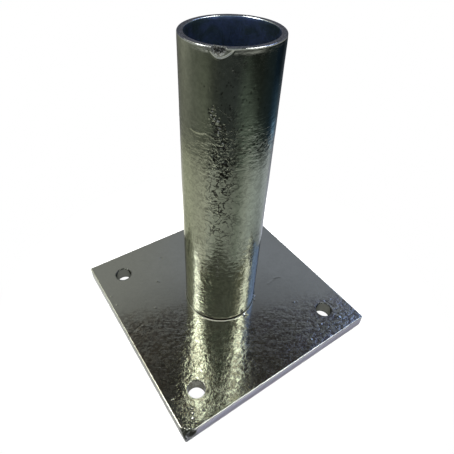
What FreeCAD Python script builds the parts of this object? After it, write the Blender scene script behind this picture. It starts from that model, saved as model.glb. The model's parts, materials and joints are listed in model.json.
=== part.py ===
import FreeCAD, Part

import math
import os

from FreeCAD import Vector

# A galvanised post base: a square plate with four anchor holes, and a round tube that stands in a
# bore at the plate's middle and is welded to it from underneath.
# Millimetres, +Z up. The origin is the centre of the plate's underside.

# Plate
plate_side = 150.0
plate_thickness = 10.0
plate_corner_radius = 1.0         # the four upright corners
plate_edge_radius = 0.8           # the top and bottom outlines, rounded over by the zinc
anchor_hole_diameter = 12.0
anchor_hole_inset = 20.0          # from two sides of the plate to a hole's centre
anchor_hole_chamfer = 0.4

# Tube
tube_diameter = 51.0
tube_wall = 3.0
tube_top = 200.0                  # height of the rim above the plate's underside
tube_rim_chamfer = 0.5            # on the rim's outer and inner edge

# Joint between plate and tube
bore_clearance = 0.85             # radial gap between the tube and the bore around it
tube_end_recess = 5.0             # from the plate's underside up to the tube's lower end
weld_toe_setback = 0.5            # bare steel left between the weld and the tube's inside
weld_ground_gap = 0.5             # least height of the weld above the plate's underside
weld_ripple_pitch = 4.0           # from one ripple to the next, along the bore's wall
weld_ripple_step = 0.45           # how far each ripple falls away before the next begins

# Pit melted into the outside of the rim
pit_direction = -136.5            # degrees about +Z
pit_radius = 3.3
pit_depth = 1.5                   # into the wall

# Corner knocked off the plate at -X -Y: a slanted break, a scoop beside it and a worn lower tip
break_reach_x = 7.0
break_reach_y = 6.0
break_reach_z = 7.0
scoop_radius = 3.4
scoop_along = 5.2                 # from the corner along +X to the scoop's centre
scoop_down = 3.8                  # from the plate's top face down to the scoop's centre
scoop_out = 1.4                   # from the plate's side out to the scoop's centre
tip_reach = 1.8

# How near two lengths have to be to count as the same
tiny = 0.001

# Sizes that follow from the ones above
half_side = plate_side / 2
hole_offset = half_side - anchor_hole_inset
outer_radius = tube_diameter / 2
inner_radius = outer_radius - tube_wall
bore_radius = outer_radius + bore_clearance
weld_reach = bore_radius - inner_radius - weld_toe_setback


def through_cylinder(radius, x, y):
    """An upright cutter at x, y that passes both faces of the plate."""
    margin = plate_thickness
    return Part.makeCylinder(radius, plate_thickness + 2 * margin, Vector(x, y, -margin))


def is_upright(edge):
    box = edge.BoundBox
    return box.XLength + box.YLength < tiny


def is_level(edge):
    return edge.BoundBox.ZLength < tiny


def is_circle(edge, radius):
    return isinstance(edge.Curve, Part.Circle) and abs(edge.Curve.Radius - radius) < tiny


def plate_blank():
    """The sheared square with its corners and outlines rounded."""
    corner = Vector(-half_side, -half_side, 0)
    blank = Part.makeBox(plate_side, plate_side, plate_thickness, corner)
    upright = [edge for edge in blank.Edges if is_upright(edge)]
    blank = blank.makeFillet(plate_corner_radius, upright)
    outlines = [edge for edge in blank.Edges if is_level(edge)]
    return blank.makeFillet(plate_edge_radius, outlines)


def anchor_holes():
    """The centres of the four holes, as (x, y)."""
    return [(sx * hole_offset, sy * hole_offset) for sx in (-1, 1) for sy in (-1, 1)]


def slanted_cutter(corner, reaches, height):
    """A prism that cuts a corner off along a slanted plane.

    reaches holds three vectors from the corner, one along each edge that meets there, and the plane
    passes through their ends.
    """
    points = [corner + reach for reach in reaches]
    middle = (points[0] + points[1] + points[2]) / len(points)
    spread = 4                    # the cutter's face is this much wider than the cut
    wide = [middle + (point - middle) * spread for point in points]
    normal = (wide[1] - wide[0]).cross(wide[2] - wide[0])
    normal.normalize()
    if normal.dot(corner - middle) < 0:
        normal = normal * -1
    face = Part.Face(Part.makePolygon(wide + [wide[0]]))
    return face.extrude(normal * height)


def broken_corner():
    """What is missing from the plate's corner at -X -Y."""
    top = Vector(-half_side, -half_side, plate_thickness)
    bottom = Vector(-half_side, -half_side, 0)
    break_reaches = [
        Vector(break_reach_x, 0, 0),
        Vector(0, break_reach_y, 0),
        Vector(0, 0, -break_reach_z),
    ]
    tip_reaches = [Vector(tip_reach, 0, 0), Vector(0, tip_reach, 0), Vector(0, 0, tip_reach)]
    main_break = slanted_cutter(top, break_reaches, plate_thickness)
    worn_tip = slanted_cutter(bottom, tip_reaches, plate_thickness / 2)
    scoop = Part.makeSphere(scoop_radius, top + Vector(scoop_along, -scoop_out, -scoop_down))
    return [main_break, worn_tip, scoop]


def base_plate():
    plate = plate_blank().cut(through_cylinder(bore_radius, 0, 0))
    hole_radius = anchor_hole_diameter / 2
    for x, y in anchor_holes():
        plate = plate.cut(through_cylinder(hole_radius, x, y))
    hole_edges = [edge for edge in plate.Edges if is_circle(edge, hole_radius)]
    plate = plate.makeChamfer(anchor_hole_chamfer, hole_edges)
    for piece in broken_corner():
        plate = plate.cut(piece)
    return plate


def rim_pit():
    """A radial cutter, centred on the rim, that leaves a half-round pit in the tube's outside."""
    turn = math.radians(pit_direction)
    outward = Vector(math.cos(turn), math.sin(turn), 0)
    start = outward * (outer_radius - pit_depth) + Vector(0, 0, tube_top)
    return Part.makeCylinder(pit_radius, 2 * pit_depth, start, outward)


def post_tube():
    """The tube, open at both ends, from inside the bore to the rim."""
    length = tube_top - tube_end_recess
    foot = Vector(0, 0, tube_end_recess)
    tube = Part.makeCylinder(outer_radius, length, foot)
    tube = tube.cut(Part.makeCylinder(inner_radius, length, foot))
    rim_edges = [edge for edge in tube.Edges if edge.BoundBox.ZMin > tube_top - tiny]
    tube = tube.makeChamfer(tube_rim_chamfer, rim_edges)
    return tube.cut(rim_pit())


def weld_ripple(turn):
    """One ripple of the weld: a tapered disc about the ring's own direction, on the corner between
    the tube's end and the bore, trimmed to the slice of the recess that it fills.
    """
    half_length = bore_radius * math.tan(turn / 2)
    start = Vector(bore_radius, -half_length, tube_end_recess)
    tail_radius = weld_reach - weld_ripple_step
    disc = Part.makeCone(weld_reach, tail_radius, 2 * half_length, start, Vector(0, 1, 0))
    height = tube_end_recess - weld_ground_gap
    floor = Vector(0, 0, weld_ground_gap)
    recess = Part.makeCylinder(bore_radius, height, floor, Vector(0, 0, 1), math.degrees(turn))
    recess.rotate(Vector(0, 0, 0), Vector(0, 0, 1), -math.degrees(turn) / 2)
    return disc.common(recess)


def weld_bead():
    """The ring weld under the plate, ripple after ripple around the tube's lower end."""
    count = round(2 * math.pi * bore_radius / weld_ripple_pitch)
    first = weld_ripple(2 * math.pi / count)
    ripples = []
    for i in range(1, count):
        ripple = first.copy()
        ripple.rotate(Vector(0, 0, 0), Vector(0, 0, 1), 360 * i / count)
        ripples.append(ripple)
    return first.multiFuse(ripples).removeSplitter()


def main():
    os.makedirs("parts", exist_ok=True)
    nodes = {
        "base_plate": base_plate(),
        "post_tube": post_tube(),
        "weld_bead": weld_bead(),
    }
    for name, shape in nodes.items():
        shape.exportStep("parts/" + name + ".step")
        print(name, "solids", len(shape.Solids), "valid", shape.isValid(), "volume", round(shape.Volume, 1))


main()
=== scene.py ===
import json
import math

import bpy
import numpy as np
from mathutils import Matrix, Vector, noise
from mathutils.geometry import delaunay_2d_cdt


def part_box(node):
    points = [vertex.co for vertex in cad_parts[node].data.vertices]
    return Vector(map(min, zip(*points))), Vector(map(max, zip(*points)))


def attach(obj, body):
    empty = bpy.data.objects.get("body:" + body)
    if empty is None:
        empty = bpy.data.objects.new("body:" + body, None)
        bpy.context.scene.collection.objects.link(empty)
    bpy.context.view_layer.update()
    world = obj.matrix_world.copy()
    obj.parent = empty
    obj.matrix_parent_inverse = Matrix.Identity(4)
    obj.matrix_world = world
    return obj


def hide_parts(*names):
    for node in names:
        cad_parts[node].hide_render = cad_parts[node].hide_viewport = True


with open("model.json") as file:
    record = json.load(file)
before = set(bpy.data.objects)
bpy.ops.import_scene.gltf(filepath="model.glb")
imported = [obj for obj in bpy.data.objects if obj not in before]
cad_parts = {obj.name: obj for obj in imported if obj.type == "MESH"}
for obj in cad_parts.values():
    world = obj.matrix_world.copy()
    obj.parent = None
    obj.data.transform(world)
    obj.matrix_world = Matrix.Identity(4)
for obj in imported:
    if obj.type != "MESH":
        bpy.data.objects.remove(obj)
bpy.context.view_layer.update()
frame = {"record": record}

# Shapes are worked out in millimetres and turned into metres when a mesh is made.
to_metres = 0.001
to_mm = 1000.0


# ------------------------ sizes read from the frame

plate_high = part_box("base_plate")[1] * to_mm
tube_low, tube_high = (corner * to_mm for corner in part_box("post_tube"))
weld_low, weld_high = (corner * to_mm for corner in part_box("weld_bead"))
mounts = {mount["name"]: mount for mount in frame["record"]["mounts"]}

half_side = plate_high.x
plate_top = plate_high.z
tube_radius = tube_high.x
tube_foot = tube_low.z
tube_top = tube_high.z
tube_inside = mounts["tube_bore"]["dims"]["r_mm"]
bore_radius = weld_high.x
weld_bottom = weld_low.z
hole_radius = mounts["anchor_holes"]["dims"]["hole_r_mm"]
hole_offset = mounts["anchor_holes"]["dims"]["spacing_x_mm"] / 2

# Finish of the edges
corner_radius = 1.0               # the plate's four upright corners
plate_edge = 0.45                 # zinc rounds the plate's upper outline
plate_lower_edge = 0.8
hole_edge = 0.2
hole_zinc = 0.3                   # how far the zinc narrows the anchor holes
bore_edge = 0.4
bore_lip = 0.28                   # how far the zinc narrows the gap at the plate's top, in front
bore_lip_aside = 0.82             # and at its sides, where it bridges the gap
bore_front = (-122, 22, 12)       # its front's middle, half width and fading in degrees about +Z
hole_wall_shade = 0.85                  # how dark the painted shade on the walls of the anchor holes is
hole_wall_shade_by_break = 0.2          # and on the one nearest the broken corner
rim_edge = 0.5


# ------------------------ small helpers

def direction(azimuth, elevation):
    """The unit vector at azimuth, from +X towards +Y, and elevation, in degrees."""
    turn, rise = math.radians(azimuth), math.radians(elevation)
    return Vector((math.cos(turn) * math.cos(rise), math.sin(turn) * math.cos(rise), math.sin(rise)))


def grain(points, stretch, seed):
    """Smooth noise from about -1 to 1 at points in mm; stretch is its cell size along x, y and z."""
    shift = np.array([17.3, 41.9, 8.1]) * seed
    return np.array([noise.noise(Vector(p)) for p in np.asarray(points) / np.array(stretch) + shift])


def ease(low, high, value):
    """0 at low and 1 at high, eased at both ends; low may be the greater one."""
    t = np.clip((np.asarray(value, float) - low) / (high - low), 0, 1)
    return t * t * (3 - 2 * t)


def bell(distance, width):
    """1 where distance is 0, and almost nothing from twice the width on."""
    return np.exp(-(distance / width) ** 2)


def add_object(name, data):
    thing = bpy.data.objects.new(name, data)
    bpy.context.scene.collection.objects.link(thing)
    return thing


def make_mesh(name, points, faces, masks, material):
    """A smooth-shaded piece from points in mm, faces as rows of indices and one number a point per mask."""
    mesh = bpy.data.meshes.new(name)
    mesh.from_pydata([tuple(p) for p in np.asarray(points) * to_metres], [], faces)
    for mask, values in masks.items():
        layer = mesh.attributes.new(mask, "FLOAT", "POINT")
        layer.data.foreach_set("value", np.asarray(values, np.float32))
    mesh.polygons.foreach_set("use_smooth", [True] * len(mesh.polygons))
    mesh.validate()
    mesh.update()
    mesh.materials.append(material)
    return add_object(name, mesh)


def ring_faces(first, second, count, flip=False):
    """Quads between two closed loops of count points that start at these indices."""
    faces = []
    for i in range(count):
        j = (i + 1) % count
        quad = (first + i, first + j, second + j, second + i)
        faces.append(quad[::-1] if flip else quad)
    return faces


def circle(count, start=0.0):
    """Points anticlockwise round a circle of radius 1, from start in radians."""
    turn = np.linspace(0, 2 * math.pi, count, endpoint=False) + start
    return np.stack([np.cos(turn), np.sin(turn)], 1)


# ------------------------ camera and studio

camera_place = Vector((-0.114998, -0.156543, 0.256590))
camera_heading = 55.84
camera_pitch = -40.90
camera_roll = 1.27
camera_lens = 31.949
camera_shift = (0.03264, -0.0298)


def make_camera():
    data = bpy.data.cameras.new("camera")
    camera = add_object("camera", data)
    turn = direction(camera_heading, camera_pitch).to_track_quat("-Z", "Y").to_matrix().to_4x4()
    roll = Matrix.Rotation(math.radians(camera_roll), 4, "Z")
    camera.matrix_world = Matrix.Translation(camera_place) @ turn @ roll
    data.sensor_width = 36.0
    data.lens = camera_lens
    data.shift_x, data.shift_y = camera_shift
    data.clip_start, data.clip_end = 0.01, 20.0
    bpy.context.scene.camera = camera


def new_tree(owner):
    owner.use_nodes = True
    owner.node_tree.nodes.clear()
    return owner.node_tree


def new_material(name):
    material = bpy.data.materials.new(name)
    return material, new_tree(material)


def feed(tree, socket, value):
    """Gives a socket a number, a vector, a colour or what another node puts out."""
    if isinstance(value, (int, float, Vector)):
        socket.default_value = value
    elif isinstance(value, tuple):
        socket.default_value = (*value, 1)
    else:
        tree.links.new(value, socket)


def add_node(tree, kind, *values, **settings):
    """A shader node of this kind, with its settings, and with values fed to its first sockets."""
    node = tree.nodes.new("ShaderNode" + kind)
    for name, setting in settings.items():
        setattr(node, name, setting)
    for socket, value in zip(node.inputs, values):
        feed(tree, socket, value)
    return node


def math_node(tree, operation, *values, clamp=False):
    return add_node(tree, "Math", *values, operation=operation, use_clamp=clamp).outputs[0]


def times(tree, first, second):
    return math_node(tree, "MULTIPLY", first, second)


def vector_node(tree, operation, *values):
    return add_node(tree, "VectorMath", *values, operation=operation).outputs


def map_range(tree, value, low, high):
    """0 at low and 1 at high, eased at both ends; low may be the greater one."""
    return add_node(tree, "MapRange", value, low, high, interpolation_type="SMOOTHSTEP").outputs[0]


def mix_colour(tree, factor, first, second):
    """first where factor is 0 and second where it is 1; either may be a colour or a socket."""
    node = add_node(tree, "Mix", factor, data_type="RGBA")
    feed(tree, node.inputs[6], first)
    feed(tree, node.inputs[7], second)
    return node.outputs[2]


def mixed_shader(tree, share, first, second):
    """first where share is 0 and second where it is 1."""
    return add_node(tree, "MixShader", share, first.outputs[0], second.outputs[0])


sky_patches = (
    # azimuth, elevation, full inside this angle, gone outside this one, radiance
    (25, 40, 16, 36, (0.55, 0.59, 0.72)),
    (40, 80, 20, 33, (0.1, 0.095, 0.09)),
    (0, 90, 7, 17, (0.09, 0.16, 0.38)),
    (118, 47, 15, 24, (2.3, 2.3, 1.95)),
    (183, 47, 6, 14, (1.05, 1.05, 0.85)),
    (-60, 47, 8, 20, (1.5, 1.5, 1.2)),
    (1, 49, 10, 15, (2.6, 3.5, 6.6)),
    (233, 50, 22, 42, (0.8, 0.85, 0.78)),
)
# The sky's colour low down and high up, between which heights it changes, and what dull surfaces see
sky_low = (0.56, 0.58, 0.72)
sky_high = (0.60, 0.61, 0.61)
sky_change = (0.35, 0.6)
sky_even = (0.60, 0.60, 0.60)


def make_world():
    """White to the eye; metal sees a pale room with brighter and darker patches."""
    world = bpy.data.worlds.new("studio")
    bpy.context.scene.world = world
    tree = new_tree(world)
    place = add_node(tree, "TexCoord").outputs["Generated"]
    height = add_node(tree, "SeparateXYZ", place).outputs["Z"]
    colour = mix_colour(tree, map_range(tree, height, *sky_change), sky_low, sky_high)
    for azimuth, elevation, inner, outer, radiance in sky_patches:
        towards = vector_node(tree, "DOT_PRODUCT", place, direction(azimuth, elevation))["Value"]
        share = map_range(tree, towards, math.cos(math.radians(outer)), math.cos(math.radians(inner)))
        colour = mix_colour(tree, share, colour, radiance)
    path = add_node(tree, "LightPath").outputs
    room = add_node(tree, "Background", mix_colour(tree, path["Is Diffuse Ray"], colour, sky_even))
    white = add_node(tree, "Background", (1, 1, 1))
    seen = mixed_shader(tree, path["Is Camera Ray"], room, white)
    add_node(tree, "OutputWorld", seen.outputs[0])


lamp_distance = 1.0               # metres
lamp_on_dull = 0.6                # share of a lamp's light that dull surfaces get
lamps = (
    # name, azimuth and elevation of its two ends, width in metres, radiance, colour
    ("left_box", (157, 42), (148, 57), 0.22, 19, (0.97, 0.97, 1)),
    ("left_box_above", (154, 57), (146, 76), 0.33, 41, (1, 1, 0.95)),
    ("right_box", (-36, 42), (-41, 56), 0.24, 10, (1, 1, 1)),
    ("right_box_above", (-41, 56), (-47, 75), 0.27, 30, (1, 1, 0.97)),
)


def make_lamp(name, low_end, high_end, across, radiance, colour):
    """A long soft box whose middle line runs between two directions."""
    first, last = direction(*low_end), direction(*high_end)
    middle = (first + last).normalized()
    data = bpy.data.lights.new(name, "AREA")
    data.shape = "RECTANGLE"
    data.size = across
    data.size_y = 2 * lamp_distance * math.tan(first.angle(last) / 2)
    data.color = colour
    data.energy = radiance * math.pi * data.size * data.size_y
    data.diffuse_factor = lamp_on_dull
    lamp = add_object(name, data)
    along = last - first
    along = (along - along.dot(middle) * middle).normalized()
    side = along.cross(middle)
    turn = Matrix((side, along, middle)).transposed().to_4x4()
    lamp.matrix_world = Matrix.Translation(middle * lamp_distance) @ turn


# Where the floor turns from lit to white, in metres from the middle: all round, and under the plate
floor_glow = (0.09, 0.17)
under_plate = (0.072, 0.068)


def floor_material():
    """White, and lit from itself away from the object and under its plate, where the holes show it."""
    material, tree = new_material("floor_white")
    place = add_node(tree, "TexCoord").outputs["Object"]
    path = add_node(tree, "LightPath").outputs
    seen = math_node(tree, "MAXIMUM", path["Is Camera Ray"], path["Is Glossy Ray"])
    seen = math_node(tree, "MAXIMUM", seen, path["Is Transmission Ray"])
    away = map_range(tree, vector_node(tree, "LENGTH", place)["Value"], *floor_glow)
    split = add_node(tree, "SeparateXYZ", place).outputs
    aside = math_node(tree, "MAXIMUM", *(math_node(tree, "ABSOLUTE", split[axis]) for axis in "XY"))
    under = map_range(tree, aside, *under_plate)
    share = times(tree, seen, math_node(tree, "MAXIMUM", away, under))
    paint, glow = add_node(tree, "BsdfDiffuse", (0.8, 0.8, 0.8)), add_node(tree, "Emission", (1, 1, 1))
    add_node(tree, "OutputMaterial", mixed_shader(tree, share, paint, glow).outputs[0])
    return material


def make_floor():
    reach = 6000.0
    below = -0.05
    corners = [(reach * x, reach * y, below) for x, y in ((-1, -1), (1, -1), (1, 1), (-1, 1))]
    floor = make_mesh("floor", corners, [(0, 1, 2, 3)], {}, floor_material())


# A card that lies round the object and turns up behind it, and that only reflections show. Radius and
# height of its rings in mm: the first follows the plate's sides, and the last is where it fades out.
card_rings = ((None, 0.6), (150, 0.6), (199, 0.6), (245, 0.6), (262, 12), (262, 37), (262, 90), (262, 125),
              (262, 152))
# Azimuth, colour of the lying part, colour of the standing part, and radiance on each ring but the last
card_columns = (
    (62, (1, 1, 0.9), (1, 1, 0.95), (0.04,) * 8),
    (77, (1, 1, 0.9), (1, 1, 0.95), (0.22, 0.22, 0.2, 0.16, 0.14, 0.16, 0.2, 0.2)),
    (93, (1, 1, 0.82), (1, 1, 0.9), (2.1, 2.1, 1.85, 1.4, 0.85, 0.76, 0.62, 0.7)),
    (120, (1, 1, 0.8), (1, 1, 0.87), (1.5, 1.5, 1.28, 0.82, 0.48, 0.5, 0.55, 0.64)),
    (151, (1, 1, 0.82), (0.96, 1, 0.84), (1.12, 0.96, 0.82, 0.53, 0.35, 0.32, 0.27, 0.3)),
    (183, (1, 1, 0.84), (0.93, 1, 0.8), (0.96, 0.8, 0.96, 0.54, 0.22, 0.29, 0.25, 0.18)),
    (200, (0.97, 1, 0.89), (0.92, 1, 0.85), (0.86, 0.78, 0.72, 0.34, 0.2, 0.17, 0.12, 0.12)),
    (217, (0.95, 1, 0.88), (0.88, 1, 0.96), (0.66, 0.66, 0.62, 0.05, 0.05, 0.08, 0.09, 0.1)),
    (248, (0.95, 1, 0.9), (0.87, 1, 1), (0.42, 0.48, 0.42, 0.12, 0.09, 0.1, 0.09, 0.05)),
    (269, (0.91, 1, 0.88), (0.81, 1, 0.85), (0.48, 0.5, 0.42, 0.32, 0.32, 0.25, 0.15, 0.04)),
    (286, (0.94, 1, 0.93), (0.82, 1, 0.86), (0.78, 0.76, 0.72, 0.5, 0.4, 0.24, 0.05, 0.035)),
    (303, (0.92, 1, 0.98), (0.8, 1, 0.9), (0.88, 0.88, 0.86, 0.55, 0.28, 0.06, 0.04, 0.035)),
    (332, (0.92, 1, 1.06), (0.62, 1, 1.25), (0.66, 0.92, 0.85, 0.36, 0.055, 0.05, 0.045, 0.04)),
    (345, (0.93, 1, 1.12), (0.5, 1, 1.75), (1.1, 1.35, 1.3, 0.52, 0.09, 0.1, 0.035, 0.03)),
    (361, (0.95, 1, 1.14), (0.55, 1, 1.65), (1.75, 1.9, 1.85, 1.75, 1.1, 0.26, 0.04, 0.03)),
    (378, (0.95, 1, 1.14), (0.8, 1, 1.3), (1.0, 1.05, 0.95, 0.85, 0.65, 0.38, 0.2, 0.16)),
    (392, (1, 1, 1.1), (0.9, 1, 1.2), (0.28, 0.28, 0.25, 0.18, 0.1, 0.08, 0.08, 0.08)),
    (410, (1, 1, 1.1), (0.9, 1, 1.2), (0.04,) * 8),
)
card_gap = 8.0                    # between the plate's sides and the card
standing_from = 4                 # number of the first ring that stands


def card_material():
    material, tree = new_material("card")
    shade = add_node(tree, "Attribute", attribute_name="shade").outputs
    clear, glow = add_node(tree, "BsdfTransparent"), add_node(tree, "Emission", shade["Color"])
    add_node(tree, "OutputMaterial", mixed_shader(tree, shade["Alpha"], clear, glow).outputs[0])
    return material


def make_card():
    azimuths = [column[0] for column in card_columns]
    turns = np.linspace(azimuths[0], azimuths[-1], 176)
    angle, count = np.radians(turns), len(turns)
    points, shades, faces = [], [], []
    for number, (radius, height) in enumerate(card_rings):
        fading = number == len(card_rings) - 1
        tints = np.array([column[2 if number >= standing_from else 1] for column in card_columns])
        levels = np.array([column[3][-1 if fading else number] for column in card_columns])
        channels = [np.interp(turns, azimuths, tints[:, k] * levels) for k in range(3)]
        shades.append(np.column_stack([*channels, np.full(count, 0.0 if fading else 1.0)]))
        if radius is None:
            radius = half_side / np.maximum(np.abs(np.cos(angle)), np.abs(np.sin(angle))) + card_gap
        points.append(np.column_stack([radius * np.cos(angle), radius * np.sin(angle), 0 * angle + height]))
        if number:
            start = number * count
            faces += [(i, i + 1, i + 1 - count, i - count) for i in range(start, start + count - 1)]
    card = make_mesh("card", np.concatenate(points), faces, {}, card_material())
    layer = card.data.attributes.new("shade", "FLOAT_COLOR", "POINT")
    layer.data.foreach_set("color", np.concatenate(shades).astype(np.float32).ravel())
    card.visible_camera = False
    card.visible_diffuse = False
    card.visible_shadow = False
    card.visible_transmission = False


# ------------------------ zinc

grit_size = 0.6                   # mm


def new_group(name, inputs, outputs):
    """A shader node group with number inputs, and the nodes at its two ends."""
    group = bpy.data.node_groups.new(name, "ShaderNodeTree")
    for label, value in inputs.items():
        socket = group.interface.new_socket(label, in_out="INPUT", socket_type="NodeSocketFloat")
        socket.default_value = value
    for label in outputs:
        group.interface.new_socket(label, in_out="OUTPUT", socket_type="NodeSocketFloat")
    return group, group.nodes.new("NodeGroupInput").outputs, group.nodes.new("NodeGroupOutput").inputs


def scaled_place(tree, across, along, upward, turn=None):
    """The point on the piece, turned about +Z, divided by a cell size in mm along x, y and z."""
    place = add_node(tree, "TexCoord").outputs["Object"]
    if turn is not None:
        turned = add_node(tree, "VectorRotate", place, rotation_type="Z_AXIS")
        tree.links.new(turn, turned.inputs["Angle"])
        place = turned.outputs[0]
    sizes = [size * to_metres if isinstance(size, (int, float)) else times(tree, size, to_metres)
             for size in (across, along, upward)]
    return vector_node(tree, "DIVIDE", place, add_node(tree, "CombineXYZ", *sizes).outputs[0])["Vector"]


def noise_node(tree, place, detail, roughness=0.5, distortion=0.0):
    node = add_node(tree, "TexNoise", place)
    for label, value in (("Scale", 1), ("Detail", detail), ("Roughness", roughness),
                         ("Distortion", distortion)):
        node.inputs[label].default_value = value
    return node.outputs["Fac"]


def make_mottle_group():
    """Patches of brighter and duller zinc, flecks, veins and grit. Patch, Fleck and Vein are sizes in mm."""
    group, given, out = new_group("zinc_mottle", {"Patch": 9.0, "Fleck": 1.6, "Vein": 2.4},
                                  ("Patches", "Flecks", "Grit", "Veins"))

    def cells(size, *look):
        return noise_node(group, scaled_place(group, size, size, size), *look)

    worm = math_node(group, "SUBTRACT", cells(given["Vein"], 2.0, 0.55, 1.2), 0.5)
    group.links.new(map_range(group, math_node(group, "ABSOLUTE", worm), 0.045, 0.02), out["Veins"])
    group.links.new(map_range(group, cells(given["Patch"], 4.0, 0.62, 0.6), 0.34, 0.66), out["Patches"])
    group.links.new(map_range(group, cells(given["Fleck"], 2.0, 0.5, 0.4), 0.36, 0.64), out["Flecks"])
    group.links.new(cells(grit_size, 1.0), out["Grit"])
    return group


def make_run_group():
    """Thin streaks left as the zinc drained: their size in mm across, along and upward, turned about +Z."""
    group, given, out = new_group("zinc_runs", {"Across": 8.0, "Along": 8.0, "Upward": 0.9, "Turn": 0.0},
                                  ("Runs",))
    place = scaled_place(group, given["Across"], given["Along"], given["Upward"], given["Turn"])
    group.links.new(map_range(group, noise_node(group, place, 2.0, 0.5, 0.35), 0.33, 0.67), out["Runs"])
    return group


def make_wear_group():
    """Breaks the edges of a mask into specks. Mask is 1 where the wear is, and Speck is their size in mm."""
    group, given, out = new_group("worn_edge", {"Mask": 0.0, "Speck": 1.1}, ("Wear",))
    mask, speck = given["Mask"], given["Speck"]
    specks = noise_node(group, scaled_place(group, speck, speck, speck), 3.0, 0.6)
    lifted = math_node(group, "ADD", mask, math_node(group, "SUBTRACT", specks, 0.5))
    worn = times(group, map_range(group, lifted, 0.25, 0.75), map_range(group, mask, 0, 0.2))
    group.links.new(worn, out["Wear"])
    return group


def place_group(tree, group, **values):
    """The outputs of a group placed in this material; a value may be a number or a socket."""
    node = add_node(tree, "Group", node_tree=group)
    for label, value in values.items():
        feed(tree, node.inputs[label], value)
    return node.outputs


def mask_nodes(tree, *names):
    """The values of these masks of the piece, one output for each."""
    return [add_node(tree, "Attribute", attribute_name=name).outputs["Fac"] for name in names]


def layered(tree, colour, *coats):
    """A colour under coats laid on in turn, each a mask, how much of it shows, and its own colour."""
    for mask, share, coat in coats:
        colour = mix_colour(tree, mask if share == 1 else times(tree, mask, share), colour, coat)
    return colour


def summed(tree, start, *parts):
    """A number with masks added to it, each times its own share."""
    for mask, share in parts:
        start = math_node(tree, "ADD", start, times(tree, mask, share))
    return start


def bumps(tree, *coats):
    """The normal of one relief over another, each a height that changes by about 1, and its depth in mm."""
    normal = None
    for height, depth in coats:
        node = add_node(tree, "Bump")
        feed(tree, node.inputs["Distance"], depth * to_metres)
        feed(tree, node.inputs["Height"], height)
        if normal is not None:
            feed(tree, node.inputs["Normal"], normal)
        normal = node.outputs[0]
    return normal


def metal_shader(tree, colour, rough, normal):
    shader = add_node(tree, "BsdfPrincipled")
    for label, value in (("Metallic", 1.0), ("Specular Tint", slant_tint), ("Base Color", colour),
                         ("Roughness", rough), ("Normal", normal)):
        feed(tree, shader.inputs[label], value)
    add_node(tree, "OutputMaterial", shader.outputs[0])


slant_tint = (0.4, 0.4, 0.4)      # holds back the shine at a slant
zinc = (0.275, 0.29, 0.245)
zinc_flat = (0.264, 0.268, 0.236)
zinc_bright = (0.44, 0.455, 0.39)
zinc_dull = (0.19, 0.20, 0.17)
zinc_brown = (0.10, 0.082, 0.058)
# painted violet reflection, which the stain takes on towards the plate's right
painted_violet_reflection = (0.15, 0.145, 0.155)
# painted highlight: a bright cream line along the bore's front lip
lip_painted_highlight = (0.72, 0.72, 0.62)
# painted shade for the deeper patches inside the tube's bore
bore_painted_shade_deep = (0.08, 0.12, 0.13)
# painted lavender reflection on the plate's sides
painted_side_reflection = (0.30, 0.295, 0.36)
# painted shade inside the tube's bore, tinted blue as a painted reflection
bore_painted_shade_blue = (0.17, 0.23, 0.38)
# painted shade on the rim's top, also the grey of the pit's dross
rim_shade_and_dross_grey = (0.10, 0.105, 0.105)
# lighter specks in the rim's painted shade
rim_shade_speckle = (0.24, 0.24, 0.25)
# painted shade for the anchor holes and the plate's bottom edges, also its darker patches
dark_for_shade_and_patches = (0.075, 0.08, 0.07)
# dark dross; also the painted shade in the tube's dimples
dross_and_shade_dark = (0.035, 0.034, 0.03)


def tube_material(mottle, runs, wear):
    material, tree = new_material("zinc_on_tube")
    inside, busy, dross, edge, wrinkle, ripple, rim, dent = mask_nodes(
        tree, "inside", "busy", "dross", "edge", "wrinkle", "ripple", "rim", "dent")
    skin = place_group(tree, mottle, Patch=11.0, Fleck=1.9, Vein=5.5)
    drained = place_group(tree, runs, Across=5.0, Along=5.0, Upward=1.1)["Runs"]
    worn = place_group(tree, wear, Mask=edge, Speck=1.4)["Wear"]
    lace = map_range(tree, skin["Grit"], 0.42, 0.58)
    veins = times(tree, skin["Veins"], wrinkle)
    colour = layered(
        tree, zinc,
        (skin["Patches"], 0.35, zinc_dull),
        (skin["Flecks"], 0.25, zinc_bright),
        (veins, 0.85, dross_and_shade_dark),
        (times(tree, map_range(tree, drained, 0.3, 0.1), ripple), 0.7, dross_and_shade_dark),
        (worn, 1, mix_colour(tree, skin["Flecks"], zinc_dull, zinc_bright)),
        # painted shade on the rim's top, speckled lighter
        (rim, 1, mix_colour(tree, lace, rim_shade_and_dross_grey, rim_shade_speckle)),
        # painted shade in the dimples, and a dark band at the tube's foot on its front
        (dent, 0.92, dross_and_shade_dark),
        (dross, 1, mix_colour(tree, lace, dross_and_shade_dark, rim_shade_and_dross_grey)),
        # the bore's inside: painted shade, tinted blue as a painted reflection
        (inside, 1, mix_colour(tree, skin["Patches"], bore_painted_shade_blue, bore_painted_shade_deep)))
    rough = summed(tree, 0.05, (skin["Patches"], 0.04), (skin["Flecks"], 0.03), (dross, 0.7), (inside, 0.25))
    normal = bumps(tree, (times(tree, drained, busy), 0.02), (times(tree, skin["Flecks"], busy), 0.015),
                   (veins, 0.04), (times(tree, skin["Grit"], busy), 0.006))
    metal_shader(tree, colour, rough, normal)
    return material


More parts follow.
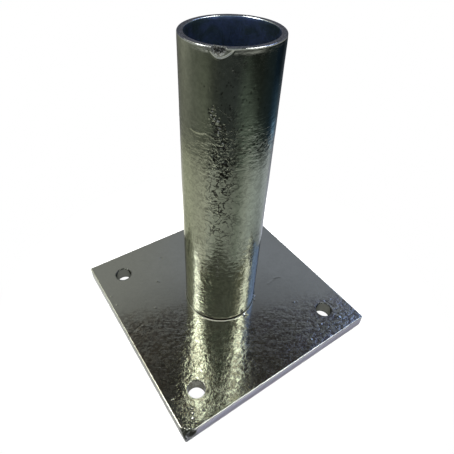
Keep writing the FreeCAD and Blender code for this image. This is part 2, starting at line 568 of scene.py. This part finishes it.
def plate_material(mottle, runs, wear):
    material, tree = new_material("zinc_on_plate")
    edge, dross, stain, violet, front, wall, hole, lip = mask_nodes(
        tree, "edge", "dross", "stain", "violet", "front", "wall", "hole", "lip")
    skin = place_group(tree, mottle, Patch=12.0, Fleck=1.8, Vein=3.2)
    drained = place_group(tree, runs, Across=8.0, Along=1.2, Upward=4.0, Turn=math.radians(33))["Runs"]
    worn = place_group(tree, wear, Mask=edge, Speck=1.8)["Wear"]
    streaky = times(tree, times(tree, drained, violet), 0.6)
    blotch = math_node(tree, "SUBTRACT", summed(tree, 0.25, (skin["Patches"], 0.9)), streaky)
    colour = layered(
        tree, zinc_flat,
        (skin["Patches"], 0.1, zinc_dull),
        # stain: brown on the left, painted violet reflection on the right
        (math_node(tree, "MULTIPLY", stain, blotch, clamp=True), 1,
         mix_colour(tree, violet, zinc_brown, painted_violet_reflection)),
        (times(tree, skin["Flecks"], summed(tree, 0.05, (stain, 0.25))), 1, zinc_bright),
        (times(tree, map_range(tree, skin["Flecks"], 0.55, 0.15), front), 0.42, zinc_brown),
        (times(tree, skin["Veins"], front), 0.5, dross_and_shade_dark),
        # painted lavender reflection on the plate's sides
        (wall, 1, painted_side_reflection),
        (worn, 0.25, zinc_bright),
        # painted shade in the anchor holes and along the bottom edges, with darker patches at the top's right
        # front and by the broken corner
        (hole, 1, dark_for_shade_and_patches),
        # painted highlight: a bright cream line along the bore's front lip
        (lip, 1, lip_painted_highlight),
        (dross, 1, dross_and_shade_dark))
    rough = summed(tree, 0.10, (skin["Patches"], 0.06), (dross, 0.3), (lip, 0.3), (edge, 0.22))
    relief = math_node(tree, "ADD", 0.15, front)
    normal = bumps(tree, (times(tree, drained, relief), 0.014), (times(tree, skin["Flecks"], relief), 0.018),
                   (times(tree, skin["Grit"], relief), 0.006))
    metal_shader(tree, colour, rough, normal)
    return material


def weld_material(mottle, runs):
    material, tree = new_material("zinc_on_weld")
    skin = place_group(tree, mottle, Patch=4.0, Fleck=1.0)
    drained = place_group(tree, runs, Across=3.0, Along=3.0, Upward=1.0)["Runs"]
    colour = mix_colour(tree, skin["Patches"], zinc, zinc_dull)
    rough = summed(tree, 0.28, (skin["Flecks"], 0.12))
    metal_shader(tree, colour, rough, bumps(tree, (drained, 0.03), (skin["Grit"], 0.012)))
    return material


# ------------------------ tube

pit_turn = -138.3                 # degrees about +Z
pit_size = 3.1
pit_depth = 1.5
lip_height = 0.18
zinc_coat = 0.12                  # over the bare tube
bright_foot = 88.0                # below this height the zinc ran thin and bright
wrinkled_turn = -130.0            # the middle of the wrinkled strip up the tube's front
tide_turn = -160.0                # the line that the bath's surface left is clearest here
tide_height = 158.5
ring_mark = (-131.0, 89.5, 2.1)   # turn, height and radius of a small raised ring

# Steps between the tube's columns of points in degrees, and between its rows in mm
tube_turns = ((-215, -152, 1.0), (-152, -119, 0.5), (-119, -40, 0.95), (-40, 145, 5.0))
tube_rows = ((tube_foot, 90, 0.62), (90, 118, 0.7), (118, 180, 0.45), (180, 192, 0.6),
             (192, tube_top - rim_edge, 0.4))

# Rows of pimples: turn and height at one end, at the other, spread in mm, how many, how high
pimple_rows = (
    (-143, 174.5, -140.5, 166, 0.9, 18, 0.24),
    (-139.5, 168, -127.5, 151.5, 1.5, 80, 0.28),
    (-142.5, 149, -128, 141, 2, 60, 0.28),
    (-142, 126, -126.5, 125, 0.5, 8, 0.3),
    (-134, 188, -100, 160, 6, 70, 0.08),
    (-118, 158, -70, 146, 3, 50, 0.14),
    (-140, 120, -128, 112, 3, 8, 0.12),
    (-146, 104, -112, 84, 6, 14, 0.1),
    (-118, 178, -96, 184, 5, 16, 0.1),
    (-128, 183, -118, 190, 4, 14, 0.08),
    (-106, 166, -98, 158, 2.5, 12, 0.14),
    (-104, 95, -103, 94.6, 0.2, 2, 0.16),
    (-52, 11.5, -49, 23, 0.7, 18, 0.6),
    (-172, 30, -150, 84, 6, 16, 0.08),
    (-104, 30, -82, 84, 6, 16, 0.08),
    (-30, 30, 120, 180, 26, 60, 0.12),
)


def spaced(*spans):
    """Values through spans that follow each other, each a start, an end and about the step to take."""
    return np.concatenate([np.linspace(low, high, max(1, round((high - low) / step)), endpoint=False)
                           for low, high, step in spans])


def pimples_on_tube(turn, height, chance):
    """How far the pimples stand out, or the pits sink in, at each point of the tube's wall."""
    relief = np.zeros(len(turn))
    for turn_1, height_1, turn_2, height_2, spread, count, rise in pimple_rows:
        for _ in range(count):
            share = chance.uniform(0, 1)
            at_turn = turn_1 + (turn_2 - turn_1) * share
            at_turn += math.degrees(chance.normal(0, spread) / tube_radius)
            at_height = height_1 + (height_2 - height_1) * share + chance.normal(0, spread)
            wide, tall = chance.uniform(0.26, 0.5), chance.uniform(0.3, 0.45)
            across = np.radians((turn - at_turn + 180.0) % 360.0 - 180.0) * tube_radius
            rise_here = rise * chance.uniform(0.5, 1.3) * (1 if chance.uniform() < 0.48 else -1)
            relief += rise_here * np.exp(-(across / wide) ** 2 - ((height - at_height) / tall) ** 2)
    return relief


def how_busy(turn, height):
    """How strongly the zinc ran and wrinkled: most where the bath's surface stood, least near the rim."""
    busy = 0.6 + 0.7 * ease(128, 142, height)
    busy += 0.5 * (1 - ease(60, 95, height))
    busy *= 1 - 0.8 * ease(158, 172, height)
    return busy + 0.3 * bell(turn + 128, 17) * (1 - ease(170, 185, height))


def tube_relief(turn, height, chance):
    """Radial offset of the zinc skin at each point of the tube's outside, and the mask of the painted shade
    in its dimples.
    """
    x, y = tube_radius * np.cos(np.radians(turn)), tube_radius * np.sin(np.radians(turn))
    points = np.stack([x, y, height], 1)
    busy = how_busy(turn, height)
    relief = zinc_coat + 0.07 * grain(points, (9, 9, 15), 1)
    relief += 0.025 * busy * grain(points, (8, 8, 2.0), 2)
    relief += 0.012 * busy * grain(points, (3.6, 3.6, 1.6), 3)
    relief += (0.032 + 0.016 * (height < bright_foot)) * busy * grain(points, (2.2, 2.2, 2.6), 4)
    low_part = (1 - ease(84, 96, height)) * ease(-172, -158, turn) * ease(-66, -80, turn)
    relief += 0.055 * low_part * grain(points, (2.8, 2.8, 1.15), 10)
    strip = bell(turn - wrinkled_turn, 20) * ease(78, 92, height) * (1 - ease(150, 166, height))
    relief += 0.10 * strip * bell(grain(points, (4.0, 4.0, 3.2), 8), 0.13)
    relief += 0.035 * strip * grain(points, (3.2, 3.2, 2.6), 9)
    around = points * (1, 1, 0)
    tide = tide_height + 0.9 * grain(around, (5, 5, 1), 5) + 0.5 * grain(around, (1.8, 1.8, 1), 6)
    shown = grain(around, (9, 9, 1), 7) + 0.35 * np.cos(np.radians(turn - tide_turn))
    shown = ease(-0.15, 0.3, shown)
    relief += (0.06 + 0.18 * bell(turn - tide_turn, 11)) * shown * bell(height - tide, 0.5)
    pimples = pimples_on_tube(turn, height, chance)
    ring_turn, ring_height, ring_radius = ring_mark
    from_ring = np.hypot(np.radians(turn - ring_turn) * tube_radius, (height - ring_height) * 1.4)
    relief += pimples + 0.05 * bell(from_ring - ring_radius, 0.5)
    # the second value is the painted shade where pimples sink in as dimples
    return relief, np.clip(-pimples / 0.08 - 0.1, 0, 1)


def pit_and_lip(turn, height):
    """Radial offset of the pit melted into the rim with the lip below it, and the mask of its rough floor."""
    along = np.radians(turn - pit_turn) * tube_radius
    deep = tube_top - height
    away = np.hypot(along, deep)
    inside = 1 - ease(pit_size - 0.35, pit_size + 0.2, away)
    place = np.stack([along, deep, 0 * deep], 1)
    lump = grain(place, (1.1, 0.8, 1), 11)
    fine = grain(place, (0.5, 0.45, 1), 12)
    relief = inside * (-pit_depth + 0.34 * lump + 0.16 * fine)
    lip_line = 4.7 - np.where(along < 0.3, 0.15, 0.088) * (along - 0.3) ** 2
    there = (0.35 + 0.65 * ease(-3.0, -1.0, along)) * ease(-4.6, -3.4, along)
    there *= 1 - ease(5.4, 7.2, along)
    relief += lip_height * there * bell(deep - lip_line, 0.42) * (1 - inside)
    rough = 1 - ease(pit_size + 0.1, pit_size + 0.8, away + 0.25 * fine)
    beside = ease(-7.2, -5.5, along) * ease(-2.0, -3.2, along)
    beside *= ease(2.2, 1.0, deep + 0.7 * lump)
    return relief + 0.16 * beside * (lump + fine), np.maximum(rough, 0.7 * beside)


def wall_masks(turn, height, dimple_shade):
    """Where the outside wall is busy, veined and streaked, where its dimples get painted shade, and where its
    foot is darker on the front.
    """
    wrinkle = bell(turn - wrinkled_turn, 19) * ease(84, 98, height) * (1 - ease(158, 182, height))
    wrinkle += (0.2 + 0.2 * (height < bright_foot)) * (1 - ease(150, 165, height))
    ripple = bell(height - 149, 13) * ease(-124, -108, turn) * (turn < -40)
    # a dark band at the tube's foot, on its front
    foot = ease(12.9, 11.3, height - 0.9 * ease(-110, -150, turn))
    foot *= ease(-172, -162, turn) * ease(-70, -84, turn)
    return {"busy": how_busy(turn, height), "wrinkle": wrinkle, "ripple": ripple, "dent": dimple_shade + foot}


def make_tube(material):
    turns = spaced(*tube_turns)
    rows = np.append(spaced(*tube_rows), tube_top - rim_edge)
    count = len(turns)
    turn, height = np.tile(turns, len(rows)), np.repeat(rows, count)
    relief, dimple_shade = tube_relief(turn, height, np.random.default_rng(27))
    pit, dross = pit_and_lip(turn, height)
    thinner = 1 - 0.6 * ease(3.5, 0.5, tube_top - height)           # towards the rim
    reach = tube_radius + relief * thinner + pit
    around = np.stack([np.cos(np.radians(turns)), np.sin(np.radians(turns)), 0 * turns], 1)
    low = around * tube_radius
    dip = -0.05 * (1 + grain(low, (4, 4, 1), 14)) - 0.03 * (1 + grain(low, (1.2, 1.2, 1), 15))

    # Radius, level, dross and edge masks of each loop, up the outside, over the rim and down the bore
    loops = list(zip(*(values.reshape(-1, count) for values in (reach, height, dross, 0 * height))))
    shoulder, _, pit_dross, _ = loops[-1]
    none = np.zeros(count)
    bends = [(rim_edge * math.cos(bend), tube_top - rim_edge * (1 - math.sin(bend)) + dip,
              none + math.sin(bend)) for bend in np.radians((22, 45, 68, 90))]
    for inset, level, edge in bends:
        loops.append((shoulder - rim_edge + inset, level, pit_dross, edge))
    for share in (0.25, 0.5, 0.75):
        radius = (shoulder - rim_edge) * (1 - share) + (tube_inside + rim_edge) * share
        loops.append((radius, tube_top + dip, pit_dross * (1 - share), none + 0.6))
    for inset, level, edge in bends[::-1]:
        loops.append((none + tube_inside + rim_edge - inset, level, none, edge))
    bore_start = (len(loops) - 1) * count
    for depth in spaced((0.6, 12, 1.6), (12, tube_top - tube_foot - 1, 7)):
        place = np.column_stack([low[:, :2], none + tube_top - depth])
        loops.append((tube_inside + 0.05 * grain(place, (6, 6, 9), 16), place[:, 2], none, none))
    loops.append((none + tube_inside, none + tube_foot, none, none))

    radius, level, dross, edge = (np.concatenate(values) for values in zip(*loops))
    points = np.tile(around, (len(loops), 1)) * radius[:, None]
    points[:, 2] = level
    faces = [face for number in range(len(loops))
             for face in ring_faces(number * count, (number + 1) % len(loops) * count, count)]
    order = np.arange(len(points))
    layers = {"dross": dross, "edge": edge, "inside": (order >= bore_start) * 1.0,
              # painted shade over the rim's top
              "rim": 0.8 * ((order >= len(turn)) & (order < bore_start))}
    for name, values in wall_masks(turn, height, dimple_shade).items():
        layers[name] = np.append(values, np.full(len(points) - len(turn), 0.3 if name == "busy" else 0.0))
    tube = make_mesh("tube_skin", points, faces, layers, material)
    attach(tube, "root")
    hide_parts("post_tube")


# ------------------------ plate

break_reach = (7.0, 6.0, 7.0)
scoop_size = 3.4
scoop_place = (5.2, -1.4, -3.8)   # from the broken corner at the plate's top
tip_reach = 1.8

# Marks on the plate's top: x, y, height and width in mm
plate_pimples = (
    (41, -38, 0.16, 0.7), (43.2, -39.1, 0.1, 0.5), (-35.6, 34.4, 0.14, 0.6), (-34.8, 33.2, 0.08, 0.5),
    (-22, 54, -0.1, 1.1), (-48.5, 13, 0.12, 0.5), (-71, 30.5, 0.12, 0.5), (-71.5, 40, 0.1, 0.5),
    (60, -65.2, 0.22, 0.8), (62.4, -63.4, 0.16, 0.6), (44.6, -63, 0.16, 0.6), (66, -50.5, 0.12, 0.6),
    (19.3, -17.6, 0.25, 0.6), (17, -20.2, 0.16, 0.6), (-68.5, -60, 0.07, 0.6), (-70.4, -52.5, 0.07, 0.6),
    (-63, -63.5, 0.16, 0.6), (-64.2, -66, 0.2, 0.7), (-65.5, -68.5, 0.2, 0.7), (-58, -68, 0.1, 0.6),
    (30, -68, 0.12, 0.6),
)
side_clearance = 0.35             # between the plate's rounded edges and a face's free points
hole_clearance = 0.3              # and between those points and an opening

# The line across the plate, x and y of its points, in front of which the zinc is rough and stained
front_line = ((-75, -25, 5, 75), (18, 0, -30, -52))
# Where the stained front is cleaner: x, y, reach in mm and how much less stain
clean_patches = ((-38, -10, 28, 0.9), (-52, -72, 30, 1), (-18, -42, 26, 0.95))
# Scratches and scuffs: from x, y to x, y, depth and width
plate_scratches = (
    (36, -14.2, 47, -12.2, -0.04, 0.5), (43, -12, 48, -13.8, -0.06, 0.5),
    (61.5, -50, 62.5, -57, 0.1, 0.6), (57, -48, 62, -51.5, 0.06, 0.5),
    (-74, 2, -62, 6, 0.04, 0.6), (-37, 60, -33, 57, 0.04, 0.5),
    (2, -26, 4.6, -28.6, 0.3, 0.35), (4.4, -26.2, 2.2, -28.2, 0.3, 0.35),
)


def plate_outline():
    """Core points and outward directions round the plate, anticlockwise, closest by the broken corner."""
    core = half_side - corner_radius
    near = 13.0
    even = spaced((0, 2 * core, 1.0))
    leaving = spaced((0, near, 0.34), (near, 2 * core, 1.0))
    sides = (
        ((-core, -core), (1, 0), leaving, -135),
        ((core, -core), (0, 1), even, -45),
        ((core, core), (-1, 0), even, 45),
        ((-core, core), (0, -1), np.append(0, 2 * core - leaving[:0:-1]), 135),
    )
    cores, outward = [], []
    for start, along, steps, corner in sides:
        for turn in np.radians(np.linspace(corner - 45, corner + 45, 7)[:-1]):
            cores.append(start)
            outward.append((math.cos(turn), math.sin(turn)))
        for step in steps:
            cores.append((start[0] + along[0] * step, start[1] + along[1] * step))
            outward.append((along[1], -along[0]))
    return np.array(cores), np.array(outward)


def edge_profile(upper, lower, rows):
    """Inset, level, edge mask and painted side reflection mask from the top face down to the bottom face."""
    profile = []
    for bend in np.radians(np.linspace(0, 90, 6)):
        profile.append((upper * (1 - math.sin(bend)), plate_top - upper * (1 - math.cos(bend)), 1.0, 0.35))
    for level in np.linspace(plate_top - upper, lower, rows)[1:-1]:
        profile.append((0.0, level, 0.9 * bell(plate_top - upper - level, 0.7), 1.0))
    for bend in np.radians(np.linspace(90, 0, 6)):
        profile.append((lower * (1 - math.sin(bend)), lower * (1 - math.cos(bend)), 0.3, 1.0))
    return profile


def break_corner(points):
    """The points pressed onto the break, scoop and worn tip, and masks of what broke and of the scoop."""
    corner = np.array([-half_side, -half_side, plate_top])
    from_corner = points - corner
    facing = np.array([-1 / break_reach[0], -1 / break_reach[1], 1 / break_reach[2]])
    facing_length = np.linalg.norm(facing)
    rough = 0.75 * grain(points, (1.8, 1.8, 1.8), 21) + 0.3 * grain(points, (0.8, 0.8, 0.8), 22)
    beyond = (from_corner @ facing + 1) / facing_length
    pressed = np.maximum(0, beyond + rough * ease(-0.4, 0.8, beyond))
    moved = points - np.outer(pressed * (beyond > -0.3), facing / facing_length)
    broken = ease(0.0, 0.3, beyond)
    centre = np.array(scoop_place)
    off = moved - corner - centre
    inside = scoop_size ** 2 - off[:, 0] ** 2 - off[:, 2] ** 2
    hollow = np.sqrt(np.maximum(0, inside)) + centre[1] + 0.12 * rough
    depth = np.where(inside > 0, np.maximum(0, hollow - (moved - corner)[:, 1]), 0)
    depth *= ease(8.0, 6.0, np.abs((moved - corner)[:, 1]))
    moved[:, 1] += depth
    scooped = ease(0.0, 0.5, depth)
    broken = np.maximum(broken, ease(0.0, 0.3, depth))
    tip_facing = np.array([-1, -1, -1]) / math.sqrt(3)
    from_tip = moved - np.array([-half_side, -half_side, 0])
    beyond = from_tip @ tip_facing + tip_reach / math.sqrt(3)
    moved -= np.outer(np.maximum(0, beyond), tip_facing)
    return moved, broken, scooped


def scratch_depth(x, y):
    depth = np.zeros(len(x))
    for x_1, y_1, x_2, y_2, deep, wide in plate_scratches:
        along = np.array([x_2 - x_1, y_2 - y_1])
        share = np.clip(((x - x_1) * along[0] + (y - y_1) * along[1]) / (along @ along), 0, 1)
        away = np.hypot(x - x_1 - share * along[0], y - y_1 - share * along[1])
        depth += deep * bell(away, wide)
    return depth


def front_of_bore(points):
    """1 where the bore's front lip is, fading out to its sides."""
    middle, half_width, fade = bore_front
    turn = np.degrees(np.arctan2(points[:, 1], points[:, 0]))
    return bell(np.clip(np.abs(turn - middle) - half_width, 0, 360), fade)


def top_relief(points):
    """Height of the zinc on the plate's top over its flat level, and the mask of the rough front."""
    x, y = points[:, 0], points[:, 1]
    line = np.interp(x, *front_line) + 5 * grain(points, (11, 8, 11), 39)
    front = ease(12, -14, y - line + 2 * grain(points, (3, 3, 3), 40))
    relief = 0.045 * grain(points, (24, 24, 24), 31)
    relief += (0.004 + 0.034 * front) * grain(points, (3.2, 2.2, 3), 32)
    relief += (0.003 + 0.022 * front) * grain(points, (1.5, 1.3, 1), 33)
    from_bore = np.hypot(x, y) - bore_radius - bore_edge
    relief += 0.10 * bell(from_bore - 0.1, 0.4) * front_of_bore(points)
    for at_x, at_y, rise, wide in plate_pimples:
        relief += rise * bell(np.hypot(x - at_x, y - at_y), wide)
    relief -= scratch_depth(x, y)
    by_hole = bell(np.hypot(x - hole_offset - 4, y + hole_offset + 2) - 5, 5.0)
    return relief + 0.05 * by_hole * np.maximum(0, grain(points, (1.3, 1.3, 1), 34)), front


def flat_face(loops, spacing, extra, keep_clear):
    """Points and triangles of a flat face between closed loops; the first loop is the outline."""
    low, high = -half_side + 1, half_side - 1
    count = round((high - low) / spacing)
    grid = np.stack(np.meshgrid(*[np.linspace(low, high, count)] * 2), -1).reshape(-1, 2)
    chance = np.random.default_rng(5)
    grid += chance.uniform(-0.22, 0.22, grid.shape) * spacing
    if len(extra):
        near = np.zeros(len(grid), bool)
        for x, y, reach in keep_clear:
            near |= np.hypot(grid[:, 0] - x, grid[:, 1] - y) < reach
        grid = np.concatenate([grid[~near], extra])
    free = (np.abs(grid) < half_side - plate_edge - side_clearance).all(1)
    for centre, radius in openings():
        free &= np.hypot(*(grid - centre).T) > radius + hole_clearance
    grid = grid[free]
    points = [Vector(p) for loop in loops for p in loop] + [Vector(p) for p in grid]
    edges, start = [], 0
    for loop in loops:
        edges += [(start + i, start + (i + 1) % len(loop)) for i in range(len(loop))]
        start += len(loop)
    _, _, triangles, origin, _, _ = delaunay_2d_cdt(points, edges, [], 0, 1e-7)
    given = np.array([min(sources) for sources in origin])
    place = np.array([(p.x, p.y) for p in points])
    kept = []
    for triangle in triangles:
        corners = given[list(triangle)]
        middle = place[corners].mean(0)
        outside = any(np.hypot(*(middle - centre)) < radius - 0.005 for centre, radius in openings())
        if not outside and inside_outline(middle):
            kept.append(corners)
    return place, kept


def inside_outline(point):
    reach = half_side - plate_edge
    over = np.maximum(0, np.abs(point) - (half_side - corner_radius))
    return (np.abs(point) < reach).all() and np.hypot(*over) <= corner_radius - plate_edge + 0.001


def openings():
    """Centre and radius, at the plate's faces, of the bore and the four anchor holes."""
    yield np.zeros(2), bore_radius + bore_edge
    for x in (-hole_offset, hole_offset):
        for y in (-hole_offset, hole_offset):
            yield np.array([x, y]), hole_radius - hole_zinc + hole_edge


def extra_points():
    """Closer points where the plate's top has small forms, and the circles that they fill."""
    found, circles = [], []
    fine = [(-half_side, -half_side, 13.0, 0.36), (hole_offset + 3, -hole_offset - 2, 13.0, 0.6)]
    fine += [(x, y, 2.2 * wide, 0.3) for x, y, _, wide in plate_pimples]
    for x_1, y_1, x_2, y_2, _, _ in plate_scratches:
        steps = max(2, int(math.hypot(x_2 - x_1, y_2 - y_1) / 1.2))
        for share in np.arange(steps + 1) / steps:
            fine.append((x_1 + (x_2 - x_1) * share, y_1 + (y_2 - y_1) * share, 1.1, 0.34))
    for x, y, reach, step in fine:
        side = np.arange(-reach, reach + step / 2, step)
        patch = np.stack(np.meshgrid(side, side), -1).reshape(-1, 2)
        patch = patch[np.hypot(*patch.T) < reach] + (x, y)
        for cx, cy, clear in circles:
            patch = patch[np.hypot(*(patch - (cx, cy)).T) > clear + 0.1]
        found.append(patch)
        circles.append((x, y, reach + 0.2))
    for step in (0.25, 0.5, 0.75, 1.0, 1.35):
        found.append((bore_radius + bore_edge + step) * circle(260, step))
    return np.concatenate(found), circles


def plate_walls():
    """Points, faces and masks of the plate's sides and the walls of its openings, and for each wall where
    its first and its last ring start and how many points a ring has.
    """
    core, outward = plate_outline()
    walls = [(core, outward, corner_radius, edge_profile(plate_edge, plate_lower_edge, 15), False)]
    for number, (centre, radius) in enumerate(openings()):
        count, edge, rows = (64, hole_edge, 9) if number else (240, bore_edge, 6)
        ring = circle(count)
        walls.append((centre + 0 * ring, ring, radius - edge, edge_profile(edge, edge, rows), True))
    points, faces, masks, rims, total = [], [], [], [], 0
    for part, (middle, ring, radius, profile, flip) in enumerate(walls):
        count, last = len(ring), len(profile) - 1
        in_hole = part > 1
        wall_shade = hole_wall_shade_by_break if (middle[0] < 0).all() else hole_wall_shade
        for number, (inset, level, edge, wall) in enumerate(profile):
            flat = middle + ring * (radius + (inset if flip else -inset))
            points.append(np.column_stack([flat, np.full(count, level)]))
            # painted contact shadow along the bottom of the plate's sides
            hole = 0.95 * bell(level, 1.0) * (not flip)
            if number in (0, last):
                wall = 0.0
            if in_hole:
                edge, wall = 0.0, 0.0
                # painted shade on the walls of the anchor holes, darker at their bottom and top edges
                hole = min(1, wall_shade + (1 - wall_shade) * bell(level, 1.2) + 0.3 * bell(plate_top - level, 0.5))
            masks.append(np.tile((edge, wall, hole), (count, 1)))
            if number:
                faces += ring_faces(total + number * count, total + (number - 1) * count, count, flip)
        rims.append((total, total + last * count, count))
        total += len(profile) * count
    return np.concatenate(points), faces, np.concatenate(masks), rims


def plate_shell():
    """The bare plate: its points and faces, and as columns the edge mask, the painted side reflection mask
    and the painted shade mask.
    """
    points, faces, masks, rims = plate_walls()
    extra, circles = extra_points()
    for level, end, spacing, more in ((plate_top, 0, 0.95, extra), (0.0, 1, 3.0, [])):
        loops = [np.arange(rim[end], rim[end] + rim[2]) for rim in rims]
        flat, triangles = flat_face([points[loop, :2] for loop in loops], spacing, more, circles)
        on_loops = np.concatenate(loops)
        free = flat[len(on_loops):]
        numbers = np.append(on_loops, len(points) + np.arange(len(free)))
        points = np.concatenate([points, np.column_stack([free, np.full(len(free), level)])])
        faces += [tuple(numbers[triangle[::-1 if end else 1]].tolist()) for triangle in triangles]
    return points, faces, np.pad(masks, ((0, len(points) - len(masks)), (0, 0)))


def coat_plate(points):
    """Moves the points to the zinc's surface, and gives the mask of the rough front."""
    away = np.hypot(points[:, 0], points[:, 1])
    lip = bore_lip + (bore_lip_aside - bore_lip) * (1 - front_of_bore(points))
    lip = lip * ease(bore_radius + 3.0, bore_radius + 0.2, away) * ease(8.2, 9.6, points[:, 2])
    points[:, :2] *= (1 - lip / np.maximum(away, 1))[:, None]
    relief, front = top_relief(points)
    upper = ease(plate_top - 0.9, plate_top, points[:, 2])
    lower = ease(0.9, 0.0, points[:, 2])
    shift = np.zeros_like(points)
    shift[:, 2] = upper * np.minimum(relief, 0.3) + lower * 0.03 * (1 + grain(points, (18, 18, 18), 35))
    every = np.arange(len(points))
    side = np.abs(points[:, :2]).argmax(1)
    at_side = np.abs(points[:, :2]).max(1) > half_side - 1.2
    wave = 0.06 * (1 + grain(points, (7, 7, 3), 36)) + 0.03 * (1 + grain(points, (1.8, 1.8, 1.2), 37))
    shift[every, side] -= np.sign(points[every, side]) * at_side * wave
    points += shift
    return front


def plate_layers(points, masks, front, broken, scooped):
    """The masks of the plate's stains and dross, its edges, its painted reflections, its painted shade and
    darker patches, and its painted highlight.
    """
    x, y, z = points.T
    edge, wall, hole = masks.T
    # brown stain on the rough front; the material turns it violet towards the right as a painted reflection
    stain = front * np.where(z > plate_top - 1.5, 0.95, 0.2)
    for at_x, at_y, reach, share in clean_patches:
        stain *= 1 - share * bell(np.hypot(x - at_x, y - at_y), reach)
    stain *= 1 + 1.2 * ease(-54, -68, y) * ease(10, 45, x)
    # the bead at the bore's front lip, which gets a painted highlight
    bead = bell(np.hypot(x, y) - bore_radius - 0.25, 0.4) * (z > plate_top - 0.5) * front_of_bore(points)
    dross = broken * np.clip(0.35 + 1.3 * grain(points, (1.6, 1.6, 1.6), 23) + 0.9 * scooped, 0, 0.97)
    dross = np.maximum(dross, 0.9 * bell(np.hypot(x - 3.4, y + 27.6), 0.9))
    # darker along the top's right front, and on the sides near the broken corner; both join the painted shade
    right_front = ease(-54, -68, y) * ease(25, 60, x) * (z > plate_top - 0.2)
    by_break = ease(9.5, 7.0, np.hypot(x + half_side, y + half_side))
    by_break *= ease(plate_top, plate_top - 1, z)
    hole = np.maximum.reduce([hole, 0.45 * right_front, 0.75 * by_break])
    return {"edge": np.clip(edge * (1 - broken) + 0.35 * broken, 0, 1), "dross": dross, "stain": stain,
            # the share of painted violet reflection, rising towards the right
            "front": front, "violet": ease(-20, 30, x - 0.3 * y), "hole": hole,
            # painted lavender reflection, full on the sides that face ±Y
            "wall": wall * np.where(np.abs(y) > half_side - 1.5, 1.0, 0.15), "lip": np.clip(1.2 * bead, 0, 1)}


def make_plate(material):
    points, faces, masks = plate_shell()
    front = coat_plate(points)
    points, broken, scooped = break_corner(points)
    layers = plate_layers(points, masks, front, broken, scooped)
    plate = make_mesh("plate_skin", points, faces, layers, material)
    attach(plate, "root")
    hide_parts("base_plate")


# ------------------------ ring weld under the tube

weld_inner = tube_inside + 0.5    # bare steel is left between the weld and the tube's inside
ripple_pitch = 4.0
ripple_fall = 0.45                # how far each ripple falls away before the next begins
ripple_lag = 0.45                 # how far, as a share of the pitch, a ripple bows along the weld
weld_crown = 0.4                  # how far the middle stands out below its edges


def make_weld(material):
    """A ring of overlapping weld ripples between the tube's end and the wall of the bore."""
    ripples = round(2 * math.pi * bore_radius / ripple_pitch)
    count = ripples * 12
    turns = np.linspace(0, 2 * math.pi, count, endpoint=False)
    around = circle(count)
    rows = []
    for share in np.linspace(0, 1, 15):
        ring = (weld_inner + (bore_radius - weld_inner) * share) * around
        hump = 1 - (2 * share - 1) ** 2
        phase = (turns / (2 * math.pi) * ripples + ripple_lag * hump) % 1.0
        slope = (tube_foot - 0.2 - weld_bottom) * (1 - share) ** 1.3
        fall = ripple_fall * phase * math.sin(math.pi * max(share, 0.02)) ** 0.5
        level = weld_bottom + slope + weld_crown * (1 - hump) + fall
        level = level + 0.05 * grain(np.column_stack([ring, level]), (1.6, 1.6, 1.6), 41)
        rows.append(np.column_stack([ring, np.clip(level, weld_bottom, tube_foot - 0.05)]))
    for radius in (bore_radius, weld_inner):
        rows.append(np.column_stack([radius * around, np.full(count, tube_foot)]))
    faces = []
    for number in range(len(rows)):
        faces += ring_faces((number + 1) % len(rows) * count, number * count, count, True)
    weld = make_mesh("weld_ripples", np.concatenate(rows), faces, {}, material)
    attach(weld, "root")
    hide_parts("weld_bead")


make_camera()
make_world()
for lamp in lamps:
    make_lamp(*lamp)
make_floor()
make_card()
mottle_group, run_group, wear_group = make_mottle_group(), make_run_group(), make_wear_group()
make_tube(tube_material(mottle_group, run_group, wear_group))
make_plate(plate_material(mottle_group, run_group, wear_group))
make_weld(weld_material(mottle_group, run_group))

bpy.context.scene.view_settings.view_transform = "Standard"
